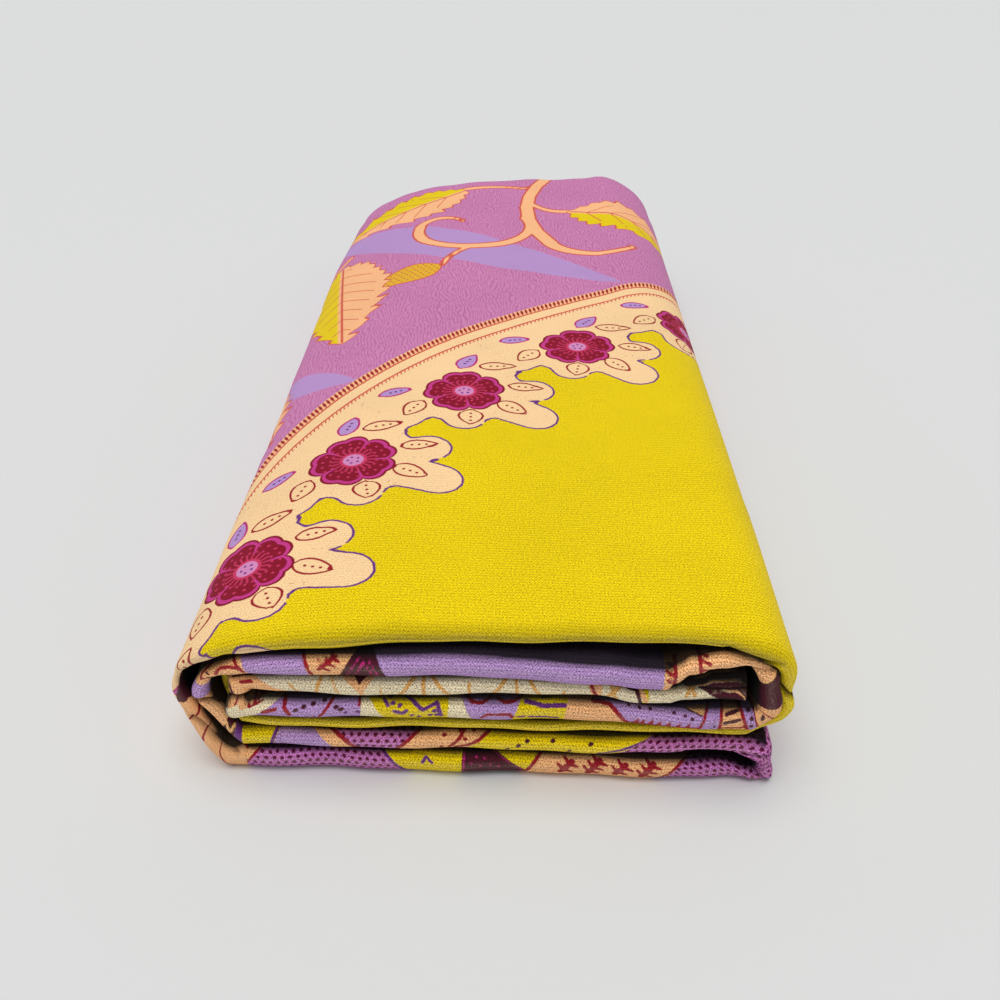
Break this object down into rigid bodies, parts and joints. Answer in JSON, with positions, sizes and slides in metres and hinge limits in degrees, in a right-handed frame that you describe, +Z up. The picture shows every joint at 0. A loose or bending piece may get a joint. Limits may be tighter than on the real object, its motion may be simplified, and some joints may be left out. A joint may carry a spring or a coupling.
{
  "type": "folded wax print fabric",
  "caption": "Length of printed cotton cloth folded into a thick strip and rolled up flat in seven level runs, lying as a packet on its flat underside.",
  "frame": {"origin": "middle of the packet's footprint on the table, at the bottom centre of its box", "axes": "+Z up from the table, +Y from the front folds to the far folds along the packet's length, +X to the right across its width"},
  "size_m": [0.175, 0.405, 0.061],
  "materials": {
    "printed_cotton": "plain-woven cotton with a fine starched sheen, printed right through in yellow, cream, lilac, mauve and maroon"
  },
  "bodies": {
    "root": {"cover": "printed_cotton", "bottom_wrap": "printed_cotton", "inner_wrap": "printed_cotton", "core_fold": "printed_cotton", "tucked_end": "printed_cotton"}
  },
  "joints": []
}
